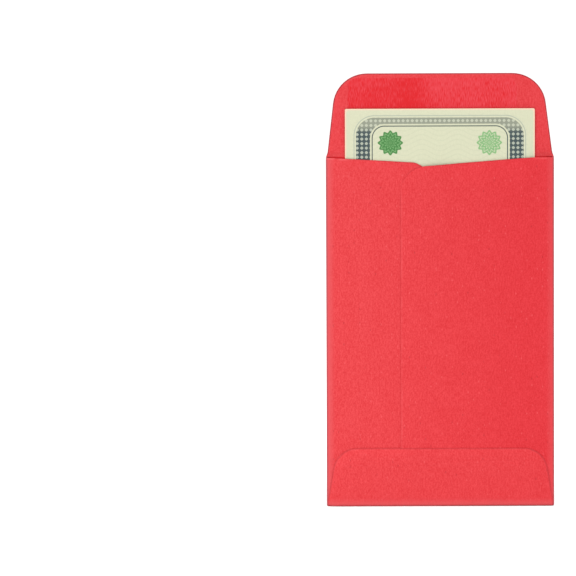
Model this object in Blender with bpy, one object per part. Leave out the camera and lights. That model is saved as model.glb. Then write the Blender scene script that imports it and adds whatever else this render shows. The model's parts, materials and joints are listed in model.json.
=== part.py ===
"""Money envelope: a small die-cut pocket of coloured paper, upright, with its flap open and a note in it.

Metres, +Z up, +X to the right. The seam side faces -Y and the address side faces +Y.
The origin is at the middle of the bottom fold. Every sheet lies at a named depth, measured
from the address face towards -Y.
"""

import math

import bmesh
import bpy
from mathutils import Matrix, Vector

MM = 0.001

# The closed pocket
POCKET_WIDTH = 57.15 * MM
POCKET_HEIGHT = 88.9 * MM

# Stock, films and the clearances between layers
PAPER_THICKNESS = 0.15 * MM
NOTE_THICKNESS = 0.11 * MM
GLUE_THICKNESS = 0.06 * MM
GUM_THICKNESS = 0.05 * MM
LAYER_GAP = 0.30 * MM
FILM_GAP = 0.02 * MM
CUT_GAP = 0.05 * MM
CREASE_GAP = 0.30 * MM

# Narrow side panel, on the left and underneath
UNDER_THROAT_SLOPE = math.radians(3.4)
UNDER_LEAD_SLOPE = math.radians(28.0)
UNDER_LEAD_WIDTH = 6.1 * MM
UNDER_LEAD_RADIUS = 3.0 * MM
UNDER_CORNER_RADIUS = 3.0 * MM

# Wide side panel, on the right and on top
SEAM_FROM_LEFT_FOLD = 18.7 * MM
SEAM_LAP = 9.8 * MM
OVER_THROAT_SLOPE = math.radians(4.5)
OVER_SHOULDER = 4.2 * MM
OVER_CORNER_RADIUS = 6.9 * MM

# Bottom flap, folded up over both side panels
BOTTOM_FLAP_HEIGHT = 14.8 * MM
BOTTOM_FLAP_SETBACK = 0.2 * MM
BOTTOM_FLAP_TAPER = math.radians(9.5)
BOTTOM_FLAP_RADIUS = 6.0 * MM

# Seal flap, open and upright
SEAL_FLAP_HEIGHT = 21.1 * MM
SEAL_FLAP_SETBACK = 0.35 * MM
SEAL_FLAP_TAPER_LEFT = math.radians(6.4)
SEAL_FLAP_TAPER_RIGHT = math.radians(7.2)
SEAL_FLAP_RADIUS = 8.5 * MM

# Gum on the inside of the seal flap
GUM_TOP_MARGIN = 1.2 * MM
GUM_HEIGHT = 13.0 * MM
GUM_LEFT_MARGIN = 4.95 * MM
GUM_RIGHT_MARGIN = 8.6 * MM
GUM_CORNER_RADIUS = 2.5 * MM

# Glue under the seam and under the bottom flap
SEAM_GLUE_MARGIN = 2.0 * MM
SEAM_GLUE_END_MARGIN = 12.0 * MM
FLAP_GLUE_TOP_MARGIN = 1.8 * MM
FLAP_GLUE_WIDTH = 4.5 * MM
FLAP_GLUE_SIDE_MARGIN = 7.0 * MM
FLAP_GLUE_SEAM_MARGIN = 0.8 * MM

# The note
NOTE_SIDE_ROOM = 4.8 * MM
NOTE_BOTTOM_ROOM = 21.4 * MM
NOTE_SHOWS = 12.2 * MM

ARC_STEP = math.radians(7.5)
SMOOTH_BELOW = math.radians(30.0)
AXIS_MARK_SIZE = 5 * MM

# Linear base colours, with roughness
RED_PAPER = ((0.815, 0.062, 0.074, 1.0), 0.82)
RED_PAPER_OUTER = ((0.855, 0.066, 0.078, 1.0), 0.82)
RED_FOLD = ((0.900, 0.090, 0.100, 1.0), 0.78)
DRIED_GLUE = ((0.800, 0.740, 0.560, 1.0), 0.35)
DRIED_GUM = ((0.760, 0.040, 0.052, 1.0), 0.38)
NOTE_PAPER = ((0.740, 0.760, 0.540, 1.0), 0.70)

LEFT_FOLD_X = -POCKET_WIDTH / 2
RIGHT_FOLD_X = POCKET_WIDTH / 2
CREASE_Z = POCKET_HEIGHT
SEAM_X = LEFT_FOLD_X + SEAM_FROM_LEFT_FOLD


def layer(start, thickness):
    """Depths of the two faces of a sheet that starts at one depth."""
    return (start, start + thickness)


ADDRESS_LAYER = layer(0.0, PAPER_THICKNESS)
NOTE_LAYER = layer(ADDRESS_LAYER[1] + LAYER_GAP, NOTE_THICKNESS)
UNDER_LAYER = layer(NOTE_LAYER[1] + LAYER_GAP, PAPER_THICKNESS)
SEAM_GLUE_LAYER = layer(UNDER_LAYER[1] + FILM_GAP, GLUE_THICKNESS)
OVER_LAYER = layer(SEAM_GLUE_LAYER[1] + FILM_GAP, PAPER_THICKNESS)
FLAP_GLUE_LAYER = layer(OVER_LAYER[1] + FILM_GAP, GLUE_THICKNESS)
BOTTOM_FLAP_LAYER = layer(FLAP_GLUE_LAYER[1] + FILM_GAP, PAPER_THICKNESS)
GUM_LAYER = layer(ADDRESS_LAYER[1] + FILM_GAP, GUM_THICKNESS)
TOTAL_DEPTH = BOTTOM_FLAP_LAYER[1]

# The crease turns far enough forward for the folded note end to clear the wide side panel
CREASE_DEPTH = (OVER_LAYER[1] + LAYER_GAP + NOTE_LAYER[1]) / 2

LEFT_FOLD_RADIUS = UNDER_LAYER[1] / 2
RIGHT_FOLD_RADIUS = OVER_LAYER[1] / 2
BOTTOM_FOLD_RADIUS = BOTTOM_FLAP_LAYER[1] / 2
PANEL_LEFT = LEFT_FOLD_X + LEFT_FOLD_RADIUS + CUT_GAP
PANEL_RIGHT = RIGHT_FOLD_X - RIGHT_FOLD_RADIUS - CUT_GAP
PANEL_BOTTOM = BOTTOM_FOLD_RADIUS + CUT_GAP
PANEL_TOP = CREASE_Z - CREASE_GAP / 2
BOTTOM_FLAP_LEFT = LEFT_FOLD_X + BOTTOM_FLAP_SETBACK
BOTTOM_FLAP_RIGHT = RIGHT_FOLD_X - BOTTOM_FLAP_SETBACK
ROOT_PIVOT = Vector((0.0, 0.0, 0.0))


def place(x, depth, z):
    """World point at a depth from the address face towards the seam side."""
    return Vector((x, TOTAL_DEPTH / 2 - depth, z))


CREASE_PIVOT = place(0.0, CREASE_DEPTH, CREASE_Z)


def clear_scene():
    for old in list(bpy.data.objects):
        bpy.data.objects.remove(old, do_unlink=True)


def make_material(name, finish):
    colour, roughness = finish
    material = bpy.data.materials.new(name)
    material.use_nodes = True
    shader = material.node_tree.nodes["Principled BSDF"]
    shader.inputs["Base Color"].default_value = colour
    shader.inputs["Roughness"].default_value = roughness
    shader.inputs["Metallic"].default_value = 0.0
    material.diffuse_color = colour
    return material


def make_empty(name, location, parent=None):
    empty = bpy.data.objects.new(name, None)
    empty.empty_display_size = AXIS_MARK_SIZE
    empty.location = location
    empty.parent = parent
    bpy.context.scene.collection.objects.link(empty)
    return empty


def rounded(corners):
    """Outline through (x, z, radius) corners, each filleted with an arc of its own radius."""
    outline = []
    count = len(corners)
    for index, (x, z, radius) in enumerate(corners):
        corner = Vector((x, z))
        if radius <= 0.0:
            outline.append(corner)
            continue
        before = (Vector(corners[index - 1][:2]) - corner).normalized()
        after = (Vector(corners[(index + 1) % count][:2]) - corner).normalized()
        half_angle = before.angle(after) / 2
        centre = corner + (before + after).normalized() * (radius / math.sin(half_angle))
        start = corner + before * (radius / math.tan(half_angle)) - centre
        end = corner + after * (radius / math.tan(half_angle)) - centre
        turn = start.angle_signed(end)
        steps = max(2, math.ceil(abs(turn) / ARC_STEP))
        for step in range(steps + 1):
            outline.append(centre + Matrix.Rotation(-turn * step / steps, 2) @ start)
    return outline


def prism(name, section, sweep, finish, pivot=ROOT_PIVOT, parent=None):
    """Closed body: a flat section swept along a straight line."""
    bm = bmesh.new()
    face = bm.faces.new([bm.verts.new(point - pivot) for point in section])
    swept = bmesh.ops.extrude_face_region(bm, geom=[face])
    moved = [item for item in swept["geom"] if isinstance(item, bmesh.types.BMVert)]
    bmesh.ops.translate(bm, verts=moved, vec=sweep)
    bmesh.ops.recalc_face_normals(bm, faces=bm.faces)
    mesh = bpy.data.meshes.new(name)
    bm.to_mesh(mesh)
    bm.free()
    mesh.shade_smooth()
    mesh.set_sharp_from_angle(angle=SMOOTH_BELOW)
    mesh.materials.append(make_material(name + "_finish", finish))
    body = bpy.data.objects.new(name, mesh)
    body.parent = parent
    bpy.context.scene.collection.objects.link(body)
    return body


def sheet(name, corners, depths, finish, pivot=ROOT_PIVOT, parent=None):
    """Flat sheet: an outline in X and Z, between two depths."""
    near, far = depths
    section = [place(x, near, z) for x, z in rounded(corners)]
    return prism(name, section, Vector((0.0, near - far, 0.0)), finish, pivot, parent)


def half_ring(radius):
    """Section of a folded edge, as (outward, depth) pairs: outer arc out, inner arc back."""
    steps = math.ceil(math.pi / ARC_STEP)
    turns = [math.pi * step / steps for step in range(steps + 1)]
    inner = radius - PAPER_THICKNESS
    outer_arc = [(radius * math.sin(a), radius - radius * math.cos(a)) for a in turns]
    inner_arc = [(inner * math.sin(a), radius - inner * math.cos(a)) for a in reversed(turns)]
    return outer_arc + inner_arc


def side_fold(name, fold_x, side, radius):
    axis_x = fold_x - side * radius
    section = [place(axis_x + side * out, depth, PANEL_BOTTOM) for out, depth in half_ring(radius)]
    return prism(name, section, Vector((0.0, 0.0, PANEL_TOP - PANEL_BOTTOM)), RED_FOLD)


def bottom_fold():
    radius = BOTTOM_FOLD_RADIUS
    section = [place(BOTTOM_FLAP_LEFT, depth, radius - out) for out, depth in half_ring(radius)]
    sweep = Vector((BOTTOM_FLAP_RIGHT - BOTTOM_FLAP_LEFT, 0.0, 0.0))
    return prism("bottom_fold", section, sweep, RED_FOLD)


def rectangle(left, right, bottom, top, radius=0.0):
    return [(left, bottom, radius), (right, bottom, radius), (right, top, radius), (left, top, radius)]


def address_panel():
    corners = rectangle(PANEL_LEFT, PANEL_RIGHT, PANEL_BOTTOM, PANEL_TOP)
    return sheet("address_panel", corners, ADDRESS_LAYER, RED_PAPER)


def under_corners():
    """Narrow side panel: its throat edge falls gently, then faster where the wide panel covers it."""
    inner_x = SEAM_X + SEAM_LAP
    lead_x = inner_x - UNDER_LEAD_WIDTH
    lead_z = PANEL_TOP - (lead_x - PANEL_LEFT) * math.tan(UNDER_THROAT_SLOPE)
    inner_z = lead_z - UNDER_LEAD_WIDTH * math.tan(UNDER_LEAD_SLOPE)
    return [
        (PANEL_LEFT, PANEL_BOTTOM, 0.0),
        (inner_x, PANEL_BOTTOM, 0.0),
        (inner_x, inner_z, UNDER_CORNER_RADIUS),
        (lead_x, lead_z, UNDER_LEAD_RADIUS),
        (PANEL_LEFT, PANEL_TOP, 0.0),
    ]


def over_corners():
    """Wide side panel: its throat edge falls from a shoulder near the fold to a round corner at the seam."""
    shoulder_x = PANEL_RIGHT - OVER_SHOULDER
    seam_z = PANEL_TOP - (shoulder_x - SEAM_X) * math.tan(OVER_THROAT_SLOPE)
    return [
        (SEAM_X, PANEL_BOTTOM, 0.0),
        (PANEL_RIGHT, PANEL_BOTTOM, 0.0),
        (PANEL_RIGHT, PANEL_TOP, 0.0),
        (shoulder_x, PANEL_TOP, 0.0),
        (SEAM_X, seam_z, OVER_CORNER_RADIUS),
    ]


def side_seam_glue():
    left = SEAM_X + SEAM_GLUE_MARGIN
    right = SEAM_X + SEAM_LAP - SEAM_GLUE_MARGIN
    bottom = PANEL_BOTTOM + SEAM_GLUE_MARGIN
    top = PANEL_TOP - SEAM_GLUE_END_MARGIN
    corners = rectangle(left, right, bottom, top)
    return sheet("side_seam_glue", corners, SEAM_GLUE_LAYER, DRIED_GLUE)


def bottom_flap_corners():
    drawn_in = (BOTTOM_FLAP_HEIGHT - PANEL_BOTTOM) * math.tan(BOTTOM_FLAP_TAPER)
    return [
        (BOTTOM_FLAP_LEFT, PANEL_BOTTOM, 0.0),
        (BOTTOM_FLAP_RIGHT, PANEL_BOTTOM, 0.0),
        (BOTTOM_FLAP_RIGHT - drawn_in, BOTTOM_FLAP_HEIGHT, BOTTOM_FLAP_RADIUS),
        (BOTTOM_FLAP_LEFT + drawn_in, BOTTOM_FLAP_HEIGHT, BOTTOM_FLAP_RADIUS),
    ]


def bottom_flap_glue(name, left, right, depths):
    top = BOTTOM_FLAP_HEIGHT - FLAP_GLUE_TOP_MARGIN
    corners = rectangle(left, right, top - FLAP_GLUE_WIDTH, top)
    return sheet(name, corners, depths, DRIED_GLUE)


def seal_flap_corners():
    left = LEFT_FOLD_X + SEAL_FLAP_SETBACK
    right = RIGHT_FOLD_X - SEAL_FLAP_SETBACK
    bottom = CREASE_Z + CREASE_GAP / 2
    top = CREASE_Z + SEAL_FLAP_HEIGHT
    left_in = (top - bottom) * math.tan(SEAL_FLAP_TAPER_LEFT)
    right_in = (top - bottom) * math.tan(SEAL_FLAP_TAPER_RIGHT)
    return [
        (left, bottom, 0.0),
        (right, bottom, 0.0),
        (right - right_in, top, SEAL_FLAP_RADIUS),
        (left + left_in, top, SEAL_FLAP_RADIUS),
    ]


def gum_corners():
    left = LEFT_FOLD_X + SEAL_FLAP_SETBACK + GUM_LEFT_MARGIN
    right = RIGHT_FOLD_X - SEAL_FLAP_SETBACK - GUM_RIGHT_MARGIN
    top = CREASE_Z + SEAL_FLAP_HEIGHT - GUM_TOP_MARGIN
    return rectangle(left, right, top - GUM_HEIGHT, top, GUM_CORNER_RADIUS)


def note_corners(bottom, top):
    half_width = POCKET_WIDTH / 2 - NOTE_SIDE_ROOM
    return rectangle(-half_width, half_width, bottom, top)


def build_pocket():
    address_panel()
    side_fold("left_fold", LEFT_FOLD_X, -1, LEFT_FOLD_RADIUS)
    side_fold("right_fold", RIGHT_FOLD_X, 1, RIGHT_FOLD_RADIUS)
    bottom_fold()
    sheet("left_side_panel", under_corners(), UNDER_LAYER, RED_PAPER_OUTER)
    side_seam_glue()
    sheet("right_side_panel", over_corners(), OVER_LAYER, RED_PAPER_OUTER)
    left = LEFT_FOLD_X + FLAP_GLUE_SIDE_MARGIN
    right = RIGHT_FOLD_X - FLAP_GLUE_SIDE_MARGIN
    over_under_panel = (SEAM_GLUE_LAYER[0], FLAP_GLUE_LAYER[1])
    bottom_flap_glue("left_bottom_glue", left, SEAM_X - FLAP_GLUE_SEAM_MARGIN, over_under_panel)
    bottom_flap_glue("right_bottom_glue", SEAM_X + FLAP_GLUE_SEAM_MARGIN, right, FLAP_GLUE_LAYER)
    sheet("bottom_flap", bottom_flap_corners(), BOTTOM_FLAP_LAYER, RED_PAPER_OUTER)


def build_seal_flap():
    """The flap and its gum turn about the crease."""
    crease = make_empty("crease_axis", CREASE_PIVOT)
    sheet("seal_flap", seal_flap_corners(), ADDRESS_LAYER, RED_PAPER, CREASE_PIVOT, crease)
    sheet("flap_gum", gum_corners(), GUM_LAYER, DRIED_GUM, CREASE_PIVOT, crease)


def build_note():
    """The note slides in the pocket, and the end that stands out of it folds with the flap."""
    slide_pivot = place(0.0, sum(NOTE_LAYER) / 2, NOTE_BOTTOM_ROOM)
    runner = make_empty("note_runner", slide_pivot)
    end_axis = make_empty("note_end_axis", CREASE_PIVOT - slide_pivot, runner)
    lower = note_corners(NOTE_BOTTOM_ROOM, CREASE_Z - CREASE_GAP / 2)
    upper = note_corners(CREASE_Z + CREASE_GAP / 2, CREASE_Z + NOTE_SHOWS)
    sheet("note", lower, NOTE_LAYER, NOTE_PAPER, slide_pivot, runner)
    sheet("note_end", upper, NOTE_LAYER, NOTE_PAPER, CREASE_PIVOT, end_axis)


def build():
    clear_scene()
    build_pocket()
    build_seal_flap()
    build_note()


build()
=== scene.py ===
"""Looks of a small paper money envelope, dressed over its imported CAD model.

Each paper piece is drawn flat, as it lies on the sheet before folding, in millimetres. The
outline comes from its CAD node. It is then folded into place, given its thickness, and scaled
to metres. X is across, Z is up, and Y points out of the address side.
"""

import json
import math
from collections import namedtuple

import bmesh
import bpy
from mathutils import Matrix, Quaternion, Vector, noise


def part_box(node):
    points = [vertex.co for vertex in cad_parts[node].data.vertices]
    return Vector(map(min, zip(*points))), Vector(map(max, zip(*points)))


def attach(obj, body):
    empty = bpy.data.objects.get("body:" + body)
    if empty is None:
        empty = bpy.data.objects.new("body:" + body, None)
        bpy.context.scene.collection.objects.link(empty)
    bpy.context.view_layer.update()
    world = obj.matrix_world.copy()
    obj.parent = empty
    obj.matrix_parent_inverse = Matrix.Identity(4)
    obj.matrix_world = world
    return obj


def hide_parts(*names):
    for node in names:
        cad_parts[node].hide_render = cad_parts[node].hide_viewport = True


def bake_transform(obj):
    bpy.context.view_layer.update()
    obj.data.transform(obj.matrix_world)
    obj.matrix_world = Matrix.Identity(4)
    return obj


MM = 0.001

Fold = namedtuple("Fold", "line centre radius inward")
Looks = namedtuple("Looks", "edge_light edge_dark wear fold_dark fade glow", defaults=(0.0,) * 6)

# Lengths are in millimetres and angles in degrees, except where a comment says metres. Where
# no comment says otherwise, two numbers of one name are the start and the end of a smooth
# change, and four are the same with the values at both.

# Flat meshes
SAME_PLACE = 0.01
CUT_SNAP = 0.002
GRID_STEP = 2.0
FOLD_STEPS = 24
FOLD_CLEAR = 0.5
EDGE_RINGS = (0.03, 0.12, 0.3, 0.6)
FAR_FROM_EDGE = 5.0
SHARP_ANGLE = 50.0

# Cut edges of the sheets, and their joints with each other
EDGE_ROUND = 0.03
EDGE_ROUND_SHARE = 0.4
JOINT_STRIP = 0.4
JOINT_REACH = 28.0
CORNER_GAP = 0.02
CORNER_TAB_BOTTOM = 0.12
CORNER_TAB_SIDE = 28.30
BOTTOM_FOLD_END = 28.27
FOLD_EAR = 0.16

# Where the side panels are pressed down or thin. THROAT_SIDES and NOTE_SIDES are counted from
# the middle of the envelope. Other places across are counted from the seam.
SEAM_PRESS = 0.085
SEAM_PRESS_WIDTH = 2.0
SEAM_PRESS_END = (5.5, 9.0)
CORNER_THINNING = 0.8
CORNER_BOTTOM = (78.0, 81.0)
CORNER_END = (6.5, 9.0)
UNDER_THROAT_PRESS = 0.2
OVER_THROAT_PRESS = 0.4
OVER_THROAT_START = (9.0, 16.0)
THROAT_PRESS_WIDTH = 6.0
THROAT_BOTTOM = (70.0, 80.0)
THROAT_SIDES = (19.0, 26.0)
NOTE_SIDES = (22.5, 24.0)

# Where the edge of the bottom flap is pressed down
FLAP_PRESS = 0.085
FLAP_PRESS_AT_LEFT = 0.3
FLAP_PRESS_WIDTH = 1.7
FLAP_STEP = (-1.0, 1.0)

# Crease of the seal flap. The glow is counted from the crease upwards.
CREASE_BELOW = 1.1
CREASE_ABOVE = 1.6
CREASE_STEP = 0.15
CREASE_MARGIN = 0.1
CREASE_CLEAR = 0.5
CREASE_SHARPNESS = 2.0
CREASE_DENT = 0.06
CREASE_DENT_WIDTH = 0.45
GLOW_BOTTOM = (-1.0, -0.7)
GLOW_TOP = (-0.1, 0.1)

# Points of the sheet's right edge from just below the crease up, and the room above them
FLARE = ((28.52, 88.80), (28.48, 89.00), (28.36, 89.30), (28.22, 89.70), (28.10, 90.20))
FLARE_CLEAR = 0.3

# How strongly each mark of the red paper shows on a sheet, from 0 to 1. The band along folds
# is fold wear with a painted highlight, the dark line along folds is painted shade, the light
# and dark lines along cut edges are a painted highlight and painted shade, and the paleness is
# a painted sheen.
UNDER_LOOKS = Looks(edge_light=0.5, edge_dark=0.25, wear=0.65, fold_dark=0.6)
OVER_LOOKS = Looks(edge_light=0.3, edge_dark=0.25, wear=0.35, fold_dark=0.6)
# Painted highlight along the cut edge at the seam
SEAM_EDGE_HIGHLIGHT = 0.2
BOTTOM_LOOKS = Looks(edge_light=0.06, edge_dark=0.3, wear=0.65)
ADDRESS_LOOKS = Looks(edge_light=0.2, edge_dark=0.75, wear=0.1)

# Painted sheen of the red paper, as lit from the left: how pale it is painted in the middle of a
# sheet, and the change per millimetre to the right
POCKET_SHEEN = (0.5, -0.025)
BOTTOM_SHEEN = (0.75, -0.009)
ADDRESS_SHEEN = (0.85, -0.003)
MOST_SHEEN = 1.2

# Heights between which the look of a cut edge changes
SEAM_EDGE_TOP = (78.5, 81.5)
THROAT_EDGE_BOTTOM = (80.0, 82.0)
FLAP_EDGE_BOTTOM = (89.0, 89.5)

# Distances from a fold or a cut edge between which a mark of the red paper ends: the fold wear
# with its painted highlight, the painted shade along folds, and the painted highlight and
# painted shade along cut edges
WEAR_HIGHLIGHT_END = (0.5, 2.6)
FOLD_SHADE_END = (0.4, 0.8)
EDGE_HIGHLIGHT_END = (0.30, 0.65)
EDGE_SHADE_END = (0.12, 0.40)

# Shape of the gum. Cells are per millimetre, across and up. A wrinkle is its cells, its layer
# of the noise, and its share of the height.
GUM_GRID = 0.12
GUM_ROWS = 0.4
GUM_RINGS = (0.25, 0.6)
GUM_FEATHER = (0.1, 0.9)
GUM_BASE = 0.012
GUM_RIDGE = 0.030
GUM_ROOT = 0.006
GUM_RAGGED = 0.35
GUM_RAGGED_CELLS = 0.8
GUM_RAGGED_LAYER = 11.0
GUM_SWAY = 0.5
GUM_SWAY_CELLS = (0.25, 0.35)
GUM_WRINKLES = ((1.5, 0.30, 3.0, 0.6), (2.9, 0.55, 9.0, 0.4))
GUM_CREST = 2.6

# Shade of the gum. A dark place is where it is across, its reach, and its depth.
GUM_SHADE_ACROSS = (-7.0, 1.0, -0.35, -0.03)
GUM_SHADE_UP = (98.0, 109.0, -0.12, 0.17)
GUM_SHADE_CLOUD = (0.35, 0.65, -0.08, 0.08)
GUM_CONTRAST = (-12.0, 14.0, 2.2, 2.6)
# Painted highlight on the crests of the wrinkles
GUM_CREST_HIGHLIGHT = 0.15
GUM_DARK_CORE = 0.5
GUM_DARK_PLACES = ((-8.6, 5.5, 0.28), (13.5, 5.0, 0.09))
GUM_RIM_START = (19.0, 19.2, 0.0, 0.2)
GUM_RIM_END = (0.25, 0.4)

# Note
NOTE_CORNER = 0.25
NOTE_CREASE = 0.9
NOTE_CREASE_STEP = CREASE_STEP / 1.5
NOTE_CREASE_CLEAR = 0.3
NOTE_RIM_CORNER = 1.0
NOTE_RIM = (-0.45, -0.2, 0.0, 0.9)

# Print of the note. PRINT_FRAME and PRINT_FIELD are a half width, a half height and the radius
# of the corners. A line is its distance from one of the two outwards, and its width. The
# medallion is a half width and a half height.
PRINT_FRAME = (21.0, 37.6, 4.6)
PRINT_FIELD = (17.5, 36.0, 3.6)
PRINT_MARGIN = (0.9, 1.2)
PRINT_BLUR = 0.05
FRAME_END = (33.6, 35.6, 0.0, 0.4)
INNER_LINE = (-0.55, 0.25)
OUTER_LINE = (0.5, 0.2)
LATTICE = 1.15
LATTICE_HOLES = (0.1, 0.8)
TINT_PERIOD = 1.25
TINT_SWAY = 0.8
TINT_SWAY_PERIOD = 9.0
TINT_CREST = (0.5, 0.9, 0.0, 0.3)
ROSETTE_X = 12.4
ROSETTE_Z = 31.2
ROSETTE_RADIUS = 2.9
ROSETTE_BLUR = 0.1
ROSETTE_PETALS = 12
ROSETTE_WAVE = 0.28
ROSETTE_SIDES = (-1.0, 1.0)
LACE_PERIOD = 1.1
LACE_WAVE = 0.35
LACE_CREST = (0.3, 0.9, 0.0, 0.7)
MEDALLION = (12.0, 17.0)
MEDALLION_PETALS = 18
MEDALLION_WAVE = 0.05
MEDALLION_PERIOD = 0.13
MEDALLION_CREST = (0.45, 0.75)
MEDALLION_END = (0.96, 0.99, 0.55, 0.0)
MEDALLION_LINE = 0.5

# Noises: cells across and up, octaves, and the share of each next octave. The cells are per
# millimetre, and per metre for the glue and the floor.
FIBRE_NOISE = (2.5, 0.75, 2.0, 0.6)
GRAIN_NOISE = (3.4, 2.3, 1.0, 0.5)
PAPER_CLOUD = (0.30, 0.16, 2.0, 0.5)
EDGE_NOISE = (0.5, 0.3, 2.0, 0.5)
GUM_STREAK = (4.6, 0.75, 1.0, 0.5)
GUM_CLOUD = (0.13, 0.10, 1.0, 0.5)
GLUE_CLOUD = (900.0, 900.0, 3.0, 0.5)
FLOOR_CLOUD = (30.0, 30.0, 3.0, 0.5)

# Middle and range of a noise's values, and what some noises do at both ends of the range
NOISE_MIDDLE = 0.5
NOISE_RANGE = (0.3, 0.7)
PAPER_CLOUD_SHADE = (-0.08, 0.08)
NOTE_TONE = (0.97, 1.03)
GLUE_TONE = (0.9, 1.1)
FLOOR_TONE = (0.99, 1.01)

# How much of the painted highlight along a cut edge is left where its noise breaks it
BROKEN_EDGE = (0.35, 0.6, 0.2, 1.0)

# Specks of the red paper: cells per millimetre, their stretch, where a speck ends in its
# cell, and which cells have a light or dark one, by their random number, and how strong it is
SPECK_CELLS = 0.75
SPECK_STRETCH = 0.55
SPECK_END = (0.05, 0.16)
LIGHT_SPECKS = (0.72, 1.00, 0.0, 0.4)
DARK_SPECKS = (0.00, 0.08, 0.4, 0.0)

# Camera, with its places in metres
CAMERA_AIM = Vector((-0.03816, -0.0005, 0.05578))
CAMERA_ELEVATION = 9.8
CAMERA_ROLL = -0.2
CAMERA_LENS = 1000.0
CAMERA_SENSOR = 36.0
CAMERA_NEAR = 0.05
CAMERA_FAR = 30.0
FRAME_WIDTH = 0.14446

# Floor, in metres. FLOOR_FADE is the distances between which its white is painted dimmer, a
# painted pool of light round the envelope.
FLOOR_SIZE = 12.0
FLOOR_SQUARES = 24
FLOOR_BELOW = 0.00002
FLOOR_FADE = (0.15, 0.60)

# Lights, with their places in metres
SUN_POWER = 3.4
SUN_SPREAD = 50.0
SUN_TILT = 14.0
KEY_PLACE = Vector((-0.28, -0.24, 0.05))
KEY_AIM = Vector((0.0, 0.0, 0.055))
KEY_SIZE = 0.12
KEY_POWER = 0.30
WORLD_POWER = 1.0

# Colours, linear
RED = (0.5000, 0.0198, 0.0268)
# Painted sheen, as lit from the left
SHEEN_RED = (0.5240, 0.0330, 0.0385)
# Lighter band along folds: fold wear with a painted highlight
WORN_HIGHLIGHT_RED = (0.5250, 0.0720, 0.0800)
# Painted highlight along cut edges, and also the light specks and the rim of the gum
EDGE_RED = (0.6000, 0.0900, 0.0980)
# Painted shade along cut edges, and also the dark specks
DEEP_RED = (0.2200, 0.0100, 0.0150)
# Painted shade along the outer line of the folds
FOLD_SHADE_RED = (0.2500, 0.0440, 0.0520)
GLOW_RED = (0.7400, 0.0210, 0.0270)
GRAIN_SHADE = (0.930, 0.620, 0.660)
GRAIN_TINT = (1.070, 1.380, 1.340)
GUM_RED = (0.5300, 0.0150, 0.0228)
GUM_SHADE = (0.930, 0.000, 0.200)
GUM_TINT = (1.050, 2.250, 2.050)
NOTE_CREAM = (0.640, 0.450, 0.330)
NOTE_FIELD = (0.466, 0.474, 0.339)
NOTE_TINT = (0.394, 0.416, 0.295)
NOTE_SLATE = (0.042, 0.062, 0.064)
NOTE_PALE_SLATE = (0.300, 0.330, 0.270)
NOTE_GREEN = (0.050, 0.170, 0.045)
NOTE_LIGHT_GREEN = (0.170, 0.330, 0.140)
GLUE_CREAM = (0.640, 0.560, 0.400)
FLOOR_WHITE = (0.720, 0.720, 0.720)
# Painted pool of light: the floor's white away from the envelope
FLOOR_FAR_WHITE = (0.520, 0.520, 0.520)
WORLD_WHITE = (1.0, 1.0, 1.0, 1.0)

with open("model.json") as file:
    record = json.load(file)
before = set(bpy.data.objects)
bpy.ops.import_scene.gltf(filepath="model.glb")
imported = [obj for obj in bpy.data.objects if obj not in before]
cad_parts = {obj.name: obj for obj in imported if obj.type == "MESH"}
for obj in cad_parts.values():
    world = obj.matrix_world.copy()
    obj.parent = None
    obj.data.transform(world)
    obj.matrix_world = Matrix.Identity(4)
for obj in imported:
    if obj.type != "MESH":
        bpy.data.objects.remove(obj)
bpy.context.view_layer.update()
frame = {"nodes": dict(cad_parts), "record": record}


def smooth(value, start, end):
    """0 before start, 1 after end, and a smooth rise between them."""
    share = min(max((value - start) / (end - start), 0.0), 1.0)
    return share * share * (3.0 - 2.0 * share)


# Sizes from the CAD model

def span(node, axis):
    """Lowest and highest place of a CAD node along an axis, in millimetres."""
    low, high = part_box(node)
    number = "xyz".index(axis)
    return low[number] / MM, high[number] / MM


def middle(node):
    """Y of the middle of a flat CAD node, in millimetres."""
    return sum(span(node, "y")) / 2.0


def cad_outline(node):
    """Outline of a flat CAD node, anticlockwise as seen from the seam side."""
    mesh = frame["nodes"][node].data
    face_y = min(vert.co.y for vert in mesh.vertices)

    def key(index):
        co = mesh.vertices[index].co
        return round(co.x / MM, 4), round(co.z / MM, 4)

    def on_face(index):
        return abs(mesh.vertices[index].co.y - face_y) < SAME_PLACE * MM

    edges = set()
    for polygon in mesh.polygons:
        if all(on_face(index) for index in polygon.vertices):
            corners = [key(index) for index in polygon.vertices]
            edges.update(zip(corners, corners[1:] + corners[:1]))
    following = {a: b for a, b in edges if (b, a) not in edges}
    start = min(following)
    outline, point = [start], following[start]
    while point != start:
        outline.append(point)
        point = following[point]
    return outline


PAPER = span("address_panel", "y")[1] - span("address_panel", "y")[0]
ADDRESS_OUTSIDE = span("address_panel", "y")[1]
CREASE_Z = frame["record"]["behaviour"]["joints"][0]["pos_m"][2] / MM
SEAM_X = span("right_side_panel", "x")[0]
SHOULDER_Z = span("left_fold", "z")[1] + CORNER_GAP
NOTE_BOTTOM = span("note", "z")[0]
NOTE_TOP = span("note_end", "z")[1]


def make_fold(edge, inward, panel):
    """Folded edge between the address panel and the panel that lies over it."""
    outside = span(panel, "y")[0]
    outer_radius = (ADDRESS_OUTSIDE - outside) / 2.0
    centre = (ADDRESS_OUTSIDE + outside) / 2.0
    return Fold(edge + inward * outer_radius, centre, outer_radius - PAPER / 2.0, inward)


LEFT_FOLD = make_fold(span("left_fold", "x")[0], 1.0, "left_side_panel")
RIGHT_FOLD = make_fold(span("right_fold", "x")[1], -1.0, "right_side_panel")
BOTTOM_FOLD = make_fold(0.0, 1.0, "bottom_flap")


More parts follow.
